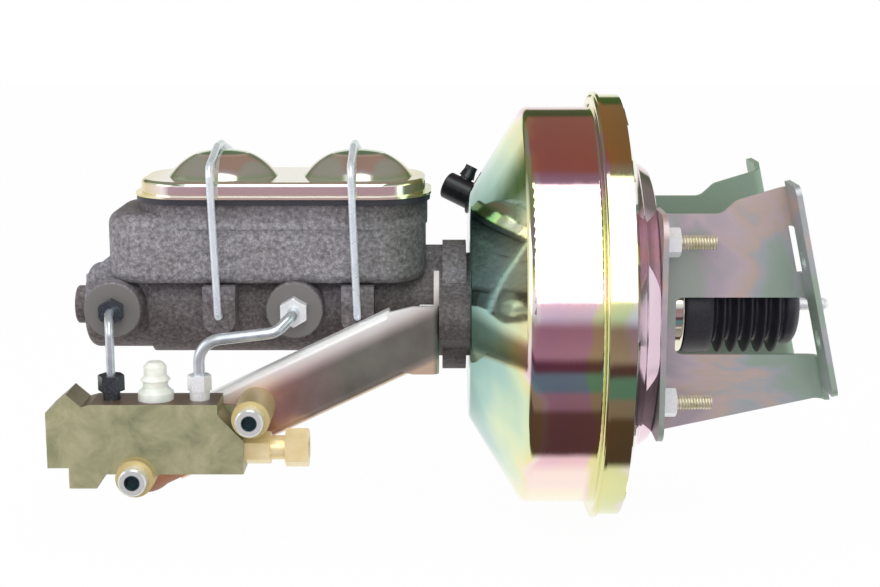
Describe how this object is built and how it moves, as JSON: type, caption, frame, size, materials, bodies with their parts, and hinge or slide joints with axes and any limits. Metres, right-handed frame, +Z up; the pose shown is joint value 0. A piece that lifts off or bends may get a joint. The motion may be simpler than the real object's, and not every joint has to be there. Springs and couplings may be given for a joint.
{
  "type": "vacuum brake booster assembly",
  "caption": "Round plated vacuum brake booster with a cast iron tandem master cylinder, brass combination valve, brake lines and a pair of firewall brackets.",
  "frame": {"origin": "where the booster's axis meets the plane of the firewall brackets", "axes": "+X along the booster's axis towards the pedal, +Z up, the valve hangs on the -Y side"},
  "size_m": [0.4395, 0.2462, 0.2462],
  "materials": {
    "zinc_shell": "yellow chromate zinc plate, mirror bright and iridescent",
    "zinc_bracket": "yellow chromate zinc plate, satin",
    "bright_zinc": "clear zinc plate, bright",
    "threaded_zinc": "yellow zinc plate",
    "cast_iron": "sand cast, bare, machined on the outlet faces",
    "cover_zinc": "yellow chromate zinc plate, bright stamping",
    "brass": "bare brass, dull olive",
    "bright_brass": "bare brass, turned",
    "rubber": "moulded black rubber",
    "black_plastic": "moulded glass filled nylon",
    "phenolic": "moulded phenolic",
    "white_nylon": "moulded natural nylon",
    "line_steel": "bright zinc plated tube",
    "bail_wire": "bright zinc plated spring wire",
    "spring_steel": "oiled spring wire",
    "dark_steel": "black oxide with oil",
    "plain_steel": "machined steel",
    "aluminium": "anodised, turned",
    "felt": "pressed felt"
  },
  "bodies": {
    "root": {"front_shell": "zinc_shell", "rear_shell": "zinc_shell", "diaphragm": "rubber", "return_spring": "spring_steel", "boot": "rubber", "neck_seal": "rubber", "seal_retainer": "plain_steel", "front_seal": "rubber", "rear_studs": "threaded_zinc", "rear_washers": "bright_zinc", "rear_nuts": "bright_zinc", "front_studs": "threaded_zinc", "master_nuts": "bright_zinc", "firewall_bracket_left": "zinc_bracket", "firewall_bracket_right": "zinc_bracket", "check_valve_grommet": "rubber", "check_valve_body": "black_plastic", "check_valve_spring": "spring_steel", "master_cylinder_body": "cast_iron", "primary_spring": "spring_steel", "secondary_spring": "spring_steel", "snap_ring": "spring_steel", "reservoir_cover": "cover_zinc", "cover_gasket": "rubber", "tube_seats": "bright_brass", "front_brake_line": "line_steel", "rear_brake_line": "line_steel", "front_port_nut": "dark_steel", "rear_port_nut": "bright_zinc", "front_valve_nut": "dark_steel", "rear_valve_nut": "bright_zinc", "combination_valve_body": "brass", "valve_end_fitting": "bright_brass", "proportioning_spring": "spring_steel", "warning_switch": "white_nylon", "valve_bolts": "dark_steel", "valve_bolt_nuts": "bright_zinc", "valve_bracket": "zinc_bracket"},
    "power_piston": {"valve_body": "phenolic", "diaphragm_plate": "plain_steel", "diaphragm_lock_ring": "black_plastic", "reaction_disc": "rubber", "output_rod": "plain_steel", "poppet": "rubber", "poppet_retainer": "plain_steel", "poppet_spring": "spring_steel", "rod_return_spring": "spring_steel", "air_filter": "felt"},
    "pushrod": {"pushrod": "plain_steel", "air_valve_plunger": "plain_steel"},
    "primary_piston": {"primary_piston": "aluminium", "primary_cups": "rubber"},
    "secondary_piston": {"secondary_piston": "aluminium", "secondary_cups": "rubber"},
    "bail_front": {"bail_front": "bail_wire"},
    "bail_rear": {"bail_rear": "bail_wire"},
    "check_disc": {"check_valve_disc": "rubber"},
    "metering_valve": {"metering_valve": "bright_brass"},
    "warning_shuttle": {"warning_shuttle": "bright_brass"},
    "proportioning_piston": {"proportioning_piston": "bright_brass"}
  },
  "joints": [
    {"name": "power_piston_slide", "type": "slide", "parent": "root", "child": "power_piston", "axis": [-1, 0, 0], "range_m": [0, 0.032], "stiffness_N_per_m": 2500, "springref_m": -0.01, "deforming": ["diaphragm", "return_spring", "boot"]},
    {"name": "pushrod_slide", "type": "slide", "parent": "power_piston", "child": "pushrod", "axis": [-1, 0, 0], "range_m": [0, 0.0015], "stiffness_N_per_m": 1200, "springref_m": -0.002, "deforming": ["rod_return_spring", "boot"]},
    {"name": "primary_piston_slide", "type": "slide", "parent": "root", "child": "primary_piston", "axis": [-1, 0, 0], "range_m": [0, 0.032], "deforming": ["primary_spring"]},
    {"name": "secondary_piston_slide", "type": "slide", "parent": "root", "child": "secondary_piston", "axis": [-1, 0, 0], "range_m": [0, 0.016], "deforming": ["secondary_spring", "primary_spring"]},
    {"name": "bail_front_swing", "type": "hinge", "parent": "root", "child": "bail_front", "pos_m": [-0.3318, 0, 0.0016], "axis": [0, -1, 0], "range_deg": [0, 75]},
    {"name": "bail_rear_swing", "type": "hinge", "parent": "root", "child": "bail_rear", "pos_m": [-0.2546, 0, 0.0016], "axis": [0, 1, 0], "range_deg": [0, 38]},
    {"name": "check_disc_slide", "type": "slide", "parent": "root", "child": "check_disc", "axis": [-0.852, 0.3685, 0.372], "range_m": [0, 0.0012], "stiffness_N_per_m": 100, "springref_m": -0.001, "deforming": ["check_valve_spring"]},
    {"name": "metering_valve_slide", "type": "slide", "parent": "root", "child": "metering_valve", "axis": [-1, 0, 0], "range_m": [0, 0.001]},
    {"name": "warning_shuttle_slide", "type": "slide", "parent": "root", "child": "warning_shuttle", "axis": [1, 0, 0], "range_m": [-0.0015, 0.0015]},
    {"name": "proportioning_piston_slide", "type": "slide", "parent": "root", "child": "proportioning_piston", "axis": [1, 0, 0], "range_m": [0, 0.002], "stiffness_N_per_m": 1500, "springref_m": -0.001, "deforming": ["proportioning_spring"]}
  ],
  "couplings": [
    {"joint": "primary_piston_slide", "follows": "power_piston_slide", "ratio": 1},
    {"joint": "secondary_piston_slide", "follows": "power_piston_slide", "ratio": 0.5}
  ]
}
